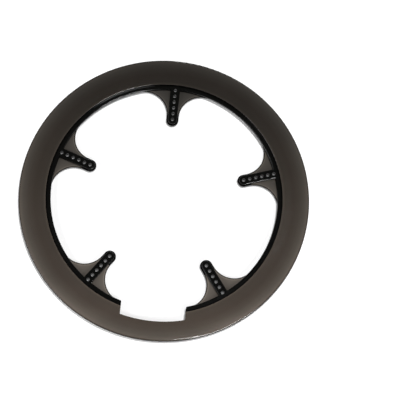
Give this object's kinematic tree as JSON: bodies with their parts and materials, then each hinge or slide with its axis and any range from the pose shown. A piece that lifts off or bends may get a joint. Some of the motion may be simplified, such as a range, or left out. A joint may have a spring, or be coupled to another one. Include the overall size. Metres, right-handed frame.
{
  "type": "chainring guard",
  "caption": "Flat round moulded guard for a bicycle chainring: a domed cover band round a black collar, with drilled arms on thin webs inside and a notch at the foot.",
  "frame": {"origin": "on the ring's axis, in the plane of the underside that the guard lies on", "axes": "+Z along the ring's axis, towards the domed outer face; +Y along the arm opposite the notch; +X to the right seen from the outer face"},
  "size_m": [0.19, 0.19, 0.0045],
  "materials": {
    "smoke_plastic": "smoke-tinted moulded plastic, satin, near black where thick and brown-grey where thin"
  },
  "bodies": {
    "root": {"chainring_guard": "smoke_plastic"}
  },
  "joints": []
}
